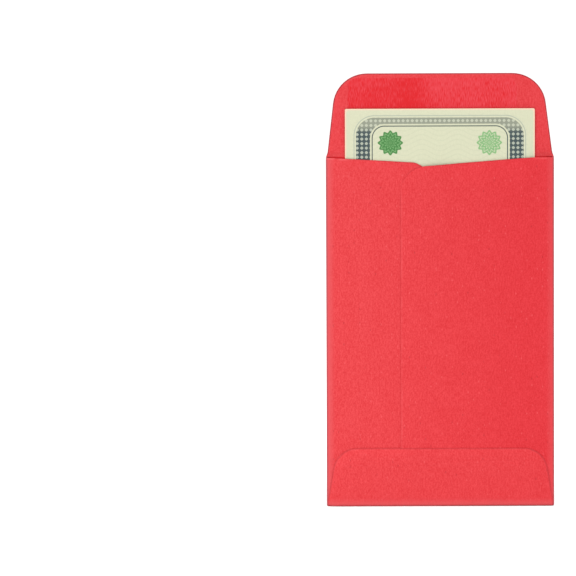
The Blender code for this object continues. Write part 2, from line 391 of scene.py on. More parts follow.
def wrapped(fold, place):
    """Place across the fold, y, and the outward normal, of a place on the flat sheet."""
    run = (place - fold.line) * fold.inward
    if run >= 0.0:
        return place, fold.centre - fold.radius, 0.0, -1.0
    turn = -run / fold.radius
    if turn <= math.pi:
        out, back = math.sin(turn), math.cos(turn)
        across = fold.line - fold.inward * fold.radius * out
        return across, fold.centre - fold.radius * back, -fold.inward * out, -back
    beyond = -run - math.pi * fold.radius
    return fold.line + fold.inward * beyond, fold.centre + fold.radius, 0.0, 1.0


def unfolded(fold, place):
    """Place on the sheet as it is cut, counted on from the address panel."""
    return 2.0 * fold.line - fold.inward * math.pi * fold.radius - place


def fold_end(fold):
    """Place on the flat sheet where the strip of the address panel ends, beyond a fold."""
    return fold.line - fold.inward * (math.pi * fold.radius + JOINT_STRIP)


def from_fold(fold, place):
    """Distance on the flat sheet from the middle line of a fold."""
    return abs((place - fold.line) * fold.inward + math.pi / 2.0 * fold.radius)


# Flat meshes

def grid_lines(low, high, step):
    """Places of the lines of a regular grid between two limits."""
    first, last = math.ceil(low / step), math.floor(high / step)
    return [number * step for number in range(first, last + 1)]


def fold_lines(fold):
    """Places where the flat sheet is cut across so that it bends round a fold."""
    step = math.pi * fold.radius / FOLD_STEPS
    return [fold.line - fold.inward * number * step for number in range(FOLD_STEPS + 1)]


def crease_lines(low, high, below, above, step, clear):
    """Heights at which a sheet is cut across: close together round the crease, and else wide."""
    bottom, top = CREASE_Z - below, CREASE_Z + above
    fine = grid_lines(bottom - CREASE_MARGIN, top + CREASE_MARGIN, step)
    wide = grid_lines(low, high, GRID_STEP)
    return fine + [z for z in wide if not bottom - clear < z < top + clear]


def limits(outline):
    """Lowest and highest x and z of an outline."""
    across, up = zip(*outline)
    return (min(across), max(across)), (min(up), max(up))


def from_lower_right(outline):
    """The same outline, started at its lower right corner."""
    start = outline.index(max(outline, key=lambda point: point[0] - point[1]))
    return outline[start:] + outline[:start]


def cut_out(outline, rings, columns, rows):
    """Flat mesh of an outline, with rings of faces along its edge, cut on grid lines."""
    flat = bmesh.new()
    face = flat.faces.new([flat.verts.new((x, 0.0, z)) for x, z in outline])
    flat.normal_update()
    reached = 0.0
    for ring in rings:
        bmesh.ops.inset_region(flat, faces=[face], thickness=ring - reached, use_even_offset=True)
        reached = ring
    planes = [((place, 0.0, 0.0), (1.0, 0.0, 0.0)) for place in columns]
    planes += [((0.0, 0.0, place), (0.0, 0.0, 1.0)) for place in rows]
    for point, normal in planes:
        geometry = flat.verts[:] + flat.edges[:] + flat.faces[:]
        bmesh.ops.bisect_plane(
            flat, geom=geometry, dist=CUT_SNAP, plane_co=point, plane_no=normal
        )
    flat.verts.index_update()
    return flat


def cut_segments(outline, is_joint):
    """The sides of an outline that are cut edges, and not joints with another piece."""
    sides = zip(outline, outline[1:] + outline[:1])
    return [(Vector(a), Vector(b)) for a, b in sides if not is_joint(a, b)]


def no_joint(a, b):
    """For an outline whose sides are all cut edges."""
    return False


def cut_distance(x, z, segments):
    """Distance of a point of the flat sheet from the nearest cut edge."""
    point, nearest = Vector((x, z)), FAR_FROM_EDGE
    for start, end in segments:
        along = end - start
        share = min(max((point - start).dot(along) / along.length_squared, 0.0), 1.0)
        nearest = min(nearest, (start + along * share - point).length)
    return nearest


def half_thickness(thickness, distance):
    """Half the thickness of a sheet, less at its rounded cut edge."""
    inset = 1.0 - min(distance / EDGE_ROUND, 1.0)
    rounding = min(EDGE_ROUND, thickness * EDGE_ROUND_SHARE)
    return thickness / 2.0 - rounding * (1.0 - math.sqrt(1.0 - inset * inset))


def shell_faces(flat):
    """Faces of a closed shell over a flat mesh. Points 2n and 2n + 1 of the shell are the two
    sides of point n."""
    faces = []
    for face in flat.faces:
        numbers = [vert.index for vert in face.verts]
        faces.append([2 * number for number in numbers])
        faces.append([2 * number + 1 for number in reversed(numbers)])
    for edge in flat.edges:
        if edge.is_boundary:
            a, b = (2 * vert.index for vert in edge.verts)
            faces.append([a, b, b + 1, a + 1])
    return faces


def add_mesh(name, points, faces, marks, flats):
    """Object from points in millimetres, with named values and a flat place for each point."""
    mesh = bpy.data.meshes.new(name)
    mesh.from_pydata([tuple(Vector(point) * MM) for point in points], [], faces)
    for mark, values in marks.items():
        mesh.attributes.new(mark, "FLOAT", "POINT").data.foreach_set("value", values)
    layer = mesh.uv_layers.new(name="flat")
    for loop in mesh.loops:
        layer.data[loop.index].uv = [value * MM for value in flats[loop.vertex_index]]
    shape = bmesh.new()
    shape.from_mesh(mesh)
    bmesh.ops.recalc_face_normals(shape, faces=shape.faces[:])
    shape.to_mesh(mesh)
    shape.free()
    mesh.shade_smooth()
    mesh.set_sharp_from_angle(angle=math.radians(SHARP_ANGLE))
    piece = bpy.data.objects.new(name, mesh)
    bpy.context.scene.collection.objects.link(piece)
    return piece


def fold_up(name, flat, segments, thickness, place, flatten, marks):
    """Closed sheet from a flat mesh, which is freed. thickness gives the sheet's thickness at
    a point, place its middle and outward normal, and flatten its place on the sheet as cut.
    marks are named values of the shell's points."""
    points, flats = [], []
    for vert in flat.verts:
        x, z = vert.co.x, vert.co.z
        distance = cut_distance(x, z, segments)
        centre, normal = place(x, z, distance)
        half = half_thickness(thickness(x, z, distance), distance)
        points += [centre + normal * half, centre - normal * half]
        flats += [flatten(x, z)] * 2
    faces = shell_faces(flat)
    flat.free()
    return add_mesh(name, points, faces, marks, flats)


# Red paper: thickness, pressed places and looks

def red_marks(flat, segments, from_crease, looks):
    """What the red paper's material reads at each point of a shell: its distance from the
    nearest cut edge and from the nearest fold, whether it is on the inside, and its looks."""
    cuts, folds, seen = [], [], []
    for vert in flat.verts:
        x, z = vert.co.x, vert.co.z
        cuts += [cut_distance(x, z, segments)] * 2
        folds += [min(from_crease(x, z), FAR_FROM_EDGE)] * 2
        seen += [looks(x, z)] * 2
    marks = {"cut_distance": cuts, "fold_distance": folds, "inside": [0.0, 1.0] * len(flat.verts)}
    marks.update(zip(Looks._fields, map(list, zip(*seen))))
    return marks


def full_paper(x, z, distance):
    """Thickness of the red paper where nothing presses it."""
    return PAPER


def throat_press(x, z, distance, depth):
    """How far a side panel dips towards the note at its throat, away from its fold."""
    at_throat = smooth(z, *THROAT_BOTTOM) * (1.0 - smooth(abs(x), *THROAT_SIDES))
    return depth * at_throat * (1.0 - smooth(distance, 0.0, THROAT_PRESS_WIDTH))


def under_press(x, z, distance):
    """How far the left side panel is pressed down."""
    return throat_press(x, z, distance, UNDER_THROAT_PRESS)


def over_thickness(x, z, distance):
    """The right side panel is pressed thin at its round corner, which hardly shows."""
    at_corner = smooth(z, *CORNER_BOTTOM) * (1.0 - smooth(x - SEAM_X, *CORNER_END))
    near_edge = 1.0 - smooth(distance, 0.0, SEAM_PRESS_WIDTH)
    return PAPER * (1.0 - CORNER_THINNING * at_corner * near_edge)


def over_press(x, z, distance):
    """How far the right side panel is pressed down, at the seam and at the throat."""
    near_edge = 1.0 - smooth(distance, 0.0, SEAM_PRESS_WIDTH)
    at_seam = SEAM_PRESS * near_edge * (1.0 - smooth(x - SEAM_X, *SEAM_PRESS_END))
    at_throat = throat_press(x, z, distance, OVER_THROAT_PRESS)
    thinned = (PAPER - over_thickness(x, z, distance)) / 2.0
    return at_seam + thinned + at_throat * smooth(x - SEAM_X, *OVER_THROAT_START)


def fade(x, at_middle, per_mm):
    """Painted sheen: how pale the paper is painted, as lit from the left. It gets less to the
    right.
    """
    return min(max(at_middle + per_mm * x, 0.0), MOST_SHEEN)


def before_note(x):
    """1 where the throat lies in front of the note, and 0 beside it."""
    return 1.0 - smooth(abs(x), *NOTE_SIDES)


def under_looks(x, z):
    """The left side panel has a painted highlight along its cut edge at the throat beside the
    note, painted shade along its cut edges in the width of the note, and a painted sheen.
    """
    light = UNDER_LOOKS.edge_light * smooth(z, *THROAT_EDGE_BOTTOM) * (1.0 - before_note(x))
    dark = UNDER_LOOKS.edge_dark * before_note(x)
    return UNDER_LOOKS._replace(edge_light=light, edge_dark=dark, fade=fade(x, *POCKET_SHEEN))


def over_looks(x, z):
    """The right side panel has a painted highlight along its cut edge at the seam, hardly any in
    its round corner, and one at the throat beside the note, painted shade along its throat in
    front of the note, and a painted sheen.
    """
    on_seam = 1.0 - smooth(z, *SEAM_EDGE_TOP)
    on_throat = smooth(x - SEAM_X, *CORNER_END)
    beside_note = on_throat * smooth(z, *THROAT_EDGE_BOTTOM) * (1.0 - before_note(x))
    light = max(SEAM_EDGE_HIGHLIGHT * on_seam, OVER_LOOKS.edge_light * beside_note)
    dark = OVER_LOOKS.edge_dark * on_throat * before_note(x)
    return OVER_LOOKS._replace(edge_light=light, edge_dark=dark, fade=fade(x, *POCKET_SHEEN))


def bottom_looks(x, z):
    """The bottom flap looks the same all over, but for its painted sheen."""
    return BOTTOM_LOOKS._replace(fade=fade(x, *BOTTOM_SHEEN))


def address_looks(x, z):
    """The seal flap has painted shade along its cut edge, and a painted sheen, and the paper
    inside glows with a painted reflection of its own red just below the crease."""
    dark = ADDRESS_LOOKS.edge_dark * smooth(z, *FLAP_EDGE_BOTTOM)
    above = z - CREASE_Z
    glow = smooth(above, *GLOW_BOTTOM) * (1.0 - smooth(above, *GLOW_TOP))
    return ADDRESS_LOOKS._replace(edge_dark=dark, fade=fade(x, *ADDRESS_SHEEN), glow=glow)


# Paper pieces

def side_outline(panel, fold):
    """A side panel with its folded edge and a strip of the address panel, laid flat."""
    panel_edge = span(panel, "x")[0 if fold.inward > 0.0 else 1]
    outline = cad_outline(panel)
    corners = [point for point in outline if abs(point[0] - panel_edge) < SAME_PLACE]
    top, bottom = max(z for _, z in corners), min(z for _, z in corners)
    end = fold_end(fold)
    floor_line = BOTTOM_FOLD.line + CORNER_GAP
    lean = math.asin((CORNER_TAB_SIDE - abs(fold.line)) / fold.radius)
    near_tab = fold.line - fold.inward * fold.radius * lean
    far_tab = fold.line - fold.inward * fold.radius * (math.pi - lean)
    ear = (fold.line - fold.inward * fold.radius * math.pi / 2.0, top + FOLD_EAR)
    detour = [ear, (end, top), (end, floor_line), (far_tab, floor_line)]
    detour += [(far_tab, CORNER_TAB_BOTTOM), (near_tab, CORNER_TAB_BOTTOM), (near_tab, bottom)]
    start = outline.index(next(point for point in corners if point[1] == top))
    turned = outline[start:] + outline[:start]
    rest = [point for point in turned[1:] if point not in corners]
    if fold.inward > 0.0:
        return [turned[0]] + detour + rest
    return [turned[0]] + rest + detour[::-1]


def side_sheet(name, panel, fold, thickness, press, looks):
    """A side panel and its folded edge."""
    outline = side_outline(panel, fold)
    end = fold_end(fold)
    (left, right), (bottom, top) = limits(outline)
    columns = fold_lines(fold) + [
        place for place in grid_lines(left, right, GRID_STEP)
        if (place - fold.line) * fold.inward > FOLD_CLEAR
    ]
    flat = cut_out(outline, EDGE_RINGS, columns, grid_lines(bottom, top, GRID_STEP))
    segments = cut_segments(outline, lambda a, b: a[0] == b[0] == end)
    marks = red_marks(flat, segments, lambda x, z: from_fold(fold, x), looks)

    def place(x, z, distance):
        across, y, normal_x, normal_y = wrapped(fold, x)
        return Vector((across, y + press(x, z, distance), z)), Vector((normal_x, normal_y, 0.0))

    return fold_up(
        name, flat, segments, thickness, place, lambda x, z: (unfolded(fold, x), z), marks
    )


def address_sides():
    """X of the joints of the address panel with the two side sheets."""
    return LEFT_FOLD.line + JOINT_STRIP, RIGHT_FOLD.line - JOINT_STRIP


def bottom_outline():
    """The bottom flap with its folded edge and a strip of the address panel, laid flat."""
    flap = cad_outline("bottom_flap")
    base = span("bottom_flap", "z")[0]
    corners = [point for point in flap if abs(point[1] - base) < SAME_PLACE]
    left, right = min(x for x, _ in corners), max(x for x, _ in corners)
    strip_left, strip_right = address_sides()
    end = fold_end(BOTTOM_FOLD)
    turn_end = end + JOINT_STRIP
    outline = [(left, base), (-BOTTOM_FOLD_END, BOTTOM_FOLD.line), (-BOTTOM_FOLD_END, turn_end)]
    outline += [(strip_left, turn_end), (strip_left, end), (strip_right, end)]
    outline += [(strip_right, turn_end), (BOTTOM_FOLD_END, turn_end)]
    outline += [(BOTTOM_FOLD_END, BOTTOM_FOLD.line), (right, base)]
    return outline + from_lower_right([point for point in flap if point not in corners])


def bottom_sheet():
    """The bottom flap and the folded bottom edge."""
    outline = bottom_outline()
    turn_end = fold_end(BOTTOM_FOLD) + JOINT_STRIP
    (left, right), (_, top) = limits(outline)
    rows = fold_lines(BOTTOM_FOLD) + grid_lines(span("bottom_flap", "z")[0], top, GRID_STEP)
    flat = cut_out(outline, EDGE_RINGS, grid_lines(left, right, GRID_STEP), rows)
    segments = cut_segments(outline, lambda a, b: max(a[1], b[1]) <= turn_end)
    marks = red_marks(flat, segments, lambda x, z: from_fold(BOTTOM_FOLD, z), bottom_looks)

    def place(x, z, distance):
        up, y, normal_z, normal_y = wrapped(BOTTOM_FOLD, z)
        at_left = 1.0 - smooth(x - SEAM_X, *FLAP_STEP)
        depth = FLAP_PRESS + (FLAP_PRESS_AT_LEFT - FLAP_PRESS) * at_left
        near_edge = 1.0 - smooth(distance, 0.0, FLAP_PRESS_WIDTH)
        on_flap = (BOTTOM_FOLD.radius - y) / (2.0 * BOTTOM_FOLD.radius)
        return Vector((x, y + depth * near_edge * on_flap, up)), Vector((0.0, normal_y, normal_z))

    return fold_up(
        "bottom_flap_sheet", flat, segments, full_paper, place,
        lambda x, z: (x, unfolded(BOTTOM_FOLD, z)), marks,
    )


def address_outline():
    """The address panel and the seal flap, with the flare of the sheet beside the crease."""
    left, right = address_sides()
    bottom = BOTTOM_FOLD.line + JOINT_STRIP
    base = FLARE[-1][1] + FLARE_CLEAR
    flap = [point for point in cad_outline("seal_flap") if point[1] > base]
    outline = [(left, bottom), (right, bottom), (right, SHOULDER_Z), *FLARE]
    outline += from_lower_right(flap)
    return outline + [(-x, z) for x, z in reversed(FLARE)] + [(left, SHOULDER_Z)]


def address_sheet():
    """The address panel and the seal flap, as one sheet with close rows of faces and a shallow
    dent at the crease.
    """
    outline = address_outline()
    (left, right), (bottom, top) = limits(outline)
    rows = crease_lines(bottom, top, CREASE_BELOW, CREASE_ABOVE, CREASE_STEP, CREASE_CLEAR)
    flat = cut_out(outline, EDGE_RINGS, grid_lines(left, right, GRID_STEP), rows)
    middle_y = middle("address_panel")

    def is_joint(a, b):
        return max(a[1], b[1]) <= SHOULDER_Z and max(abs(a[0]), abs(b[0])) < JOINT_REACH

    def from_crease(x, z):
        distances = [CREASE_SHARPNESS * abs(z - CREASE_Z)]
        if z < CREASE_Z:
            distances += [from_fold(LEFT_FOLD, x), from_fold(RIGHT_FOLD, x)]
            distances.append(from_fold(BOTTOM_FOLD, z))
        return min(distances)

    def place(x, z, distance):
        dent = CREASE_DENT * (1.0 - smooth(abs(z - CREASE_Z), 0.0, CREASE_DENT_WIDTH))
        return Vector((x, middle_y - dent, z)), Vector((0.0, 1.0, 0.0))

    segments = cut_segments(outline, is_joint)
    marks = red_marks(flat, segments, from_crease, address_looks)
    return fold_up(
        "address_sheet", flat, segments, full_paper, place, lambda x, z: (x, z), marks
    )


def note_sheet():
    """The note, as one flat sheet with close rows of faces round the crease."""
    left, right = span("note", "x")
    bottom, top = NOTE_BOTTOM, NOTE_TOP
    outline = [
        (left + NOTE_CORNER, bottom), (right - NOTE_CORNER, bottom),
        (right, bottom + NOTE_CORNER), (right, top - NOTE_CORNER),
        (right - NOTE_CORNER, top), (left + NOTE_CORNER, top),
        (left, top - NOTE_CORNER), (left, bottom + NOTE_CORNER),
    ]
    rows = crease_lines(
        bottom, top, NOTE_CREASE, NOTE_CREASE, NOTE_CREASE_STEP, NOTE_CREASE_CLEAR
    )
    flat = cut_out(outline, EDGE_RINGS, grid_lines(left, right, GRID_STEP), rows)
    front, back = span("note", "y")
    middle_y = middle("note")

    def place(x, z, distance):
        return Vector((x, middle_y, z)), Vector((0.0, -1.0, 0.0))

    return fold_up(
        "note_sheet", flat, cut_segments(outline, no_joint),
        lambda x, z, distance: back - front, place, lambda x, z: (x, z), {},
    )


def gum_ridge(x, z):
    """Height of the wrinkles in the dried gum, from 0 to 1: fine crests that run up and down."""
    sway_across, sway_up = GUM_SWAY_CELLS
    sway = GUM_SWAY * noise.noise(Vector((sway_across * x, 0.0, sway_up * z)))
    height = 0.0
    for across, up, layer, share in GUM_WRINKLES:
        wrinkle = noise.noise(Vector((across * (x + sway), layer, up * z)))
        height += share * max(1.0 - GUM_CREST * abs(wrinkle), 0.0)
    return min(height, 1.0)


def gum_body(x, z, distance):
    """1 inside the gum, and 0 outside its ragged edge."""
    cells = GUM_RAGGED_CELLS
    ragged = GUM_RAGGED * noise.noise(Vector((cells * x, GUM_RAGGED_LAYER, cells * z)))
    return smooth(distance + ragged, *GUM_FEATHER)


def gum_film():
    """The dried gum: a thin wrinkled film that fades out at its edge."""
    outline = cad_outline("flap_gum")
    segments = cut_segments(outline, no_joint)
    (left, right), (bottom, top) = limits(outline)
    columns, rows = grid_lines(left, right, GUM_GRID), grid_lines(bottom, top, GUM_ROWS)
    flat = cut_out(outline, GUM_RINGS, columns, rows)
    paper_y = span("seal_flap", "y")[0]
    points, flats, ridges, cuts = [], [], [], []
    for vert in flat.verts:
        x, z = vert.co.x, vert.co.z
        distance = cut_distance(x, z, segments)
        ridge = gum_ridge(x, z)
        height = gum_body(x, z, distance) * (GUM_BASE + GUM_RIDGE * ridge) - GUM_ROOT / 2.0
        points += [Vector((x, paper_y - height, z)), Vector((x, paper_y + GUM_ROOT, z))]
        flats += [(x, z)] * 2
        ridges += [ridge] * 2
        cuts += [distance] * 2
    faces = shell_faces(flat)
    flat.free()
    marks = {"ridge": ridges, "cut_distance": cuts}
    return add_mesh("flap_gum_film", points, faces, marks, flats)


# Materials

class Shader:
    """A material with short names for its nodes. Most methods return an output socket."""

    def __init__(self, name, roughness, specular):
        self.material = bpy.data.materials.new(name)
        self.material.use_nodes = True
        self.tree = self.material.node_tree
        self.principled = self.tree.nodes["Principled BSDF"]
        self.feed(self.principled.inputs["Roughness"], roughness)
        self.feed(self.principled.inputs["Specular IOR Level"], specular)

    def feed(self, socket, value):
        """Links an output socket to an input, or sets the input to a number or a colour."""
        if isinstance(value, bpy.types.NodeSocket):
            self.tree.links.new(value, socket)
        elif socket.type == "RGBA" and len(value) == 3:
            socket.default_value = (*value, 1.0)
        else:
            socket.default_value = value

    def node(self, kind, inputs, output=0, **settings):
        """Output of a new node with those inputs and settings."""
        node = self.tree.nodes.new(kind)
        for name, value in settings.items():
            setattr(node, name, value)
        for name, value in inputs.items():
            self.feed(node.inputs[name], value)
        return node.outputs[output]

    def value(self, name):
        """A named value of the mesh."""
        return self.node("ShaderNodeAttribute", {}, "Fac", attribute_name=name)

    def flat_place(self):
        """Place on the sheet as cut, in millimetres."""
        uv = self.node("ShaderNodeUVMap", {}, uv_map="flat")
        return self.stretch(uv, 1.0 / MM, 1.0 / MM)

    def stretch(self, place, across, up):
        return self.multiply(place, (across, up, across))

    def split(self, place):
        """X and Y of a place."""
        return [self.node("ShaderNodeSeparateXYZ", {"Vector": place}, axis) for axis in "XY"]

    def math(self, operation, a, b=0.0):
        return self.node("ShaderNodeMath", {0: a, 1: b}, operation=operation)

    def total(self, first, *others):
        for other in others:
            first = self.math("ADD", first, other)
        return first

    def minus(self, a, b):
        return self.math("SUBTRACT", a, b)

    def times(self, a, b):
        return self.math("MULTIPLY", a, b)

    def size(self, value):
        return self.math("ABSOLUTE", value)

    def length(self, across, up):
        squares = self.total(self.math("POWER", across, 2.0), self.math("POWER", up, 2.0))
        return self.math("SQRT", squares)

    def wave(self, value, period):
        """Cosine of a value, from -1 to 1."""
        return self.math("COSINE", self.times(value, 2.0 * math.pi / period))

    def step(self, value, start, end, low=0.0, high=1.0):
        """Smooth step from low to high as the value goes from start to end."""
        inputs = {
            "Value": value, "From Min": start, "From Max": end, "To Min": low, "To Max": high
        }
        return self.node("ShaderNodeMapRange", inputs, interpolation_type="SMOOTHSTEP")

    def near(self, distance, start, end):
        """1 up to start, and 0 from end."""
        return self.step(distance, start, end, 1.0, 0.0)

    def noise(self, place, across, up, detail, roughness):
        inputs = {
            "Vector": self.stretch(place, across, up), "Scale": 1.0, "Detail": detail,
            "Roughness": roughness,
        }
        return self.node("ShaderNodeTexNoise", inputs)

    def mix(self, amount, a, b):
        return self.node("ShaderNodeMix", {0: amount, 6: a, 7: b}, 2, data_type="RGBA")

    def multiply(self, a, b):
        """Product of two colours or places, part by part."""
        return self.node("ShaderNodeVectorMath", {0: a, 1: b}, operation="MULTIPLY")

    def tone(self, colour, brightness):
        return self.node("ShaderNodeHueSaturation", {"Color": colour, "Value": brightness})

    def bump(self, height, depth):
        """Gives the surface a relief whose height 1 is depth millimetres."""
        normal = self.node(
            "ShaderNodeBump", {"Strength": 1.0, "Distance": depth * MM, "Height": height}
        )
        self.feed(self.principled.inputs["Normal"], normal)

    def colour(self, colour):
        """Gives the surface its colour."""
        self.feed(self.principled.inputs["Base Color"], colour)


def paper_relief(shader, place):
    """Relief of the paper from 0 to 1: half upright fibres, and half even fine grain."""
    fibre = shader.times(shader.noise(place, *FIBRE_NOISE), 0.5)
    grain = shader.times(shader.noise(place, *GRAIN_NOISE), 0.5)
    return shader.total(fibre, grain)


def add_specks(shader, place, colour):
    """Small light and dark fibres scattered over the red paper."""
    stretched = shader.stretch(place, 1.0, SPECK_STRETCH)
    inputs = {"Vector": stretched, "Scale": SPECK_CELLS, "Randomness": 1.0}
    distance = shader.node("ShaderNodeTexVoronoi", inputs, "Distance", voronoi_dimensions="2D")
    cell = shader.node("ShaderNodeTexVoronoi", inputs, "Color", voronoi_dimensions="2D")
    choice = shader.node("ShaderNodeSeparateColor", {"Color": cell}, "Red")
    spot = shader.near(distance, *SPECK_END)
    is_light = shader.times(spot, shader.step(choice, *LIGHT_SPECKS))
    is_dark = shader.times(spot, shader.step(choice, *DARK_SPECKS))
    return shader.mix(is_dark, shader.mix(is_light, colour, EDGE_RED), DEEP_RED)


def mark(shader, name, distance, end):
    """How much a mark of the red paper shows near its fold or cut edge."""
    return shader.times(shader.value(name), shader.near(distance, *end))


def make_red_paper():
    """Matt red paper with specks and a painted sheen; fold wear with a painted highlight, and
    painted shade along the folds; a painted highlight and painted shade along the cut edges;
    and a painted reflection below the crease.
    """
    shader = Shader("red_paper", roughness=0.62, specular=0.2)
    place = shader.flat_place()
    relief = paper_relief(shader, place)
    cloud = shader.step(shader.noise(place, *PAPER_CLOUD), *NOISE_RANGE, *PAPER_CLOUD_SHADE)
    amount = shader.total(shader.step(relief, *NOISE_RANGE), cloud)
    grain = shader.mix(amount, GRAIN_SHADE, GRAIN_TINT)
    # Painted sheen: the red is painted paler at the left, as lit from there
    colour = shader.multiply(shader.mix(shader.value("fade"), RED, SHEEN_RED), grain)
    colour = add_specks(shader, place, colour)
    from_fold_line = shader.value("fold_distance")
    # Fold wear with a painted highlight: a lighter band along the folds
    worn_highlight = mark(shader, "wear", from_fold_line, WEAR_HIGHLIGHT_END)
    colour = shader.mix(worn_highlight, colour, WORN_HIGHLIGHT_RED)
    # Painted shade along the outer line of the folds
    turned = mark(shader, "fold_dark", from_fold_line, FOLD_SHADE_END)
    colour = shader.mix(turned, colour, FOLD_SHADE_RED)
    glow = shader.times(shader.value("glow"), shader.value("inside"))
    colour = shader.mix(glow, colour, GLOW_RED)
    from_cut = shader.value("cut_distance")
    # Painted highlight along cut edges, broken by a noise
    broken = shader.step(shader.noise(place, *EDGE_NOISE), *BROKEN_EDGE)
    light = shader.times(mark(shader, "edge_light", from_cut, EDGE_HIGHLIGHT_END), broken)
    colour = shader.mix(light, colour, EDGE_RED)
    # Painted shade along cut edges
    dark = mark(shader, "edge_dark", from_cut, EDGE_SHADE_END)
    shader.colour(shader.mix(dark, colour, DEEP_RED))
    shader.bump(relief, depth=0.005)
    return shader.material


def make_gum():
    """Dried gum: a deeper and glossier red with fine upright streaks and soft dark places, and a
    painted highlight on the crests of its wrinkles.
    """
    shader = Shader("dried_gum", roughness=0.42, specular=0.3)
    place = shader.flat_place()
    across, up = shader.split(place)
    streak = shader.noise(place, *GUM_STREAK)
    cloud = shader.noise(place, *GUM_CLOUD)
    contrast = shader.step(across, *GUM_CONTRAST)
    shade = shader.total(
        shader.times(shader.minus(streak, NOISE_MIDDLE), contrast), NOISE_MIDDLE,
        shader.step(across, *GUM_SHADE_ACROSS), shader.step(up, *GUM_SHADE_UP),
        # Painted highlight on the crests of the wrinkles
        shader.times(shader.value("ridge"), GUM_CREST_HIGHLIGHT),
        shader.step(cloud, *GUM_SHADE_CLOUD),
    )
    for dark_x, reach, depth in GUM_DARK_PLACES:
        away = shader.size(shader.minus(across, dark_x))
        shade = shader.total(shade, shader.step(away, GUM_DARK_CORE, reach, -depth, 0.0))
    colour = shader.multiply(GUM_RED, shader.mix(shade, GUM_SHADE, GUM_TINT))
    near_edge = shader.near(shader.value("cut_distance"), *GUM_RIM_END)
    rim = shader.times(shader.step(across, *GUM_RIM_START), near_edge)
    shader.colour(shader.mix(rim, colour, EDGE_RED))
    shader.bump(streak, depth=0.006)
    return shader.material


def rounded_frame(shader, x, z, half_width, half_height, radius):
    """Distance outwards from a rounded rectangle round the origin, in millimetres."""
    beyond = [
        shader.math("MAXIMUM", shader.minus(shader.size(place), half - radius), 0.0)
        for place, half in ((x, half_width), (z, half_height))
    ]
    return shader.minus(shader.length(*beyond), radius)


def line(shader, distance, place, width):
    """1 on a soft-edged printed line at that distance, and 0 beside it."""
    away = shader.size(shader.minus(distance, place))
    return shader.near(away, width / 2.0 - PRINT_BLUR, width / 2.0 + PRINT_BLUR)


def add_medallion(shader, x, z, colour):
    """An oval of interlaced rings in the middle of the note."""
    half_width, half_height = MEDALLION
    across, up = shader.math("DIVIDE", x, half_width), shader.math("DIVIDE", z, half_height)
    reach = shader.length(across, up)
    turn = shader.math("ARCTAN2", up, across)
    petals = shader.wave(turn, 2.0 * math.pi / MEDALLION_PETALS)
    for depth in (-MEDALLION_WAVE, MEDALLION_WAVE):
        rings = shader.wave(shader.total(reach, shader.times(petals, depth)), MEDALLION_PERIOD)
        crest = shader.step(rings, *MEDALLION_CREST)
        ink = shader.times(crest, shader.step(reach, *MEDALLION_END))
        colour = shader.mix(ink, colour, NOTE_LIGHT_GREEN)
    rim = line(shader, shader.times(reach, half_width), half_width, MEDALLION_LINE)
    return shader.mix(rim, colour, NOTE_SLATE)


def add_rosettes(shader, x, z, colour):
    """Four lace rosettes in the corners of the frame, dark at the left and light at the right."""
    across = shader.minus(shader.size(x), ROSETTE_X)
    up = shader.minus(shader.size(z), ROSETTE_Z)
    radius = shader.length(across, up)
    turn = shader.math("ARCTAN2", up, across)
    petals = shader.wave(turn, 2.0 * math.pi / ROSETTE_PETALS)
    edge = shader.minus(radius, shader.times(petals, ROSETTE_WAVE))
    inside = shader.near(edge, ROSETTE_RADIUS - ROSETTE_BLUR, ROSETTE_RADIUS + ROSETTE_BLUR)
    lace = shader.wave(shader.minus(radius, shader.times(petals, LACE_WAVE)), LACE_PERIOD)
    at_right = shader.step(x, *ROSETTE_SIDES)
    ink = shader.mix(at_right, NOTE_GREEN, NOTE_LIGHT_GREEN)
    pale = shader.mix(at_right, NOTE_LIGHT_GREEN, NOTE_FIELD)
    print_colour = shader.mix(shader.step(lace, *LACE_CREST), ink, pale)
    return shader.mix(inside, colour, print_colour)


def add_frame(shader, x, z, colour):
    """The slate frame of the print, filled with a lattice, between two fine lines."""
    outer = rounded_frame(shader, x, z, *PRINT_FRAME)
    inner = rounded_frame(shader, x, z, *PRINT_FIELD)
    lattice = shader.total(shader.wave(x, LATTICE), shader.wave(z, LATTICE))
    slate = shader.mix(shader.step(lattice, *LATTICE_HOLES), NOTE_SLATE, NOTE_PALE_SLATE)
    at_end = shader.step(shader.size(z), *FRAME_END)
    slate = shader.mix(at_end, slate, NOTE_FIELD)
    band = shader.times(
        shader.near(outer, -PRINT_BLUR, PRINT_BLUR), shader.step(inner, -PRINT_BLUR, PRINT_BLUR)
    )
    colour = shader.mix(band, colour, slate)
    colour = shader.mix(line(shader, inner, *INNER_LINE), colour, NOTE_SLATE)
    return shader.mix(line(shader, outer, *OUTER_LINE), colour, NOTE_PALE_SLATE)


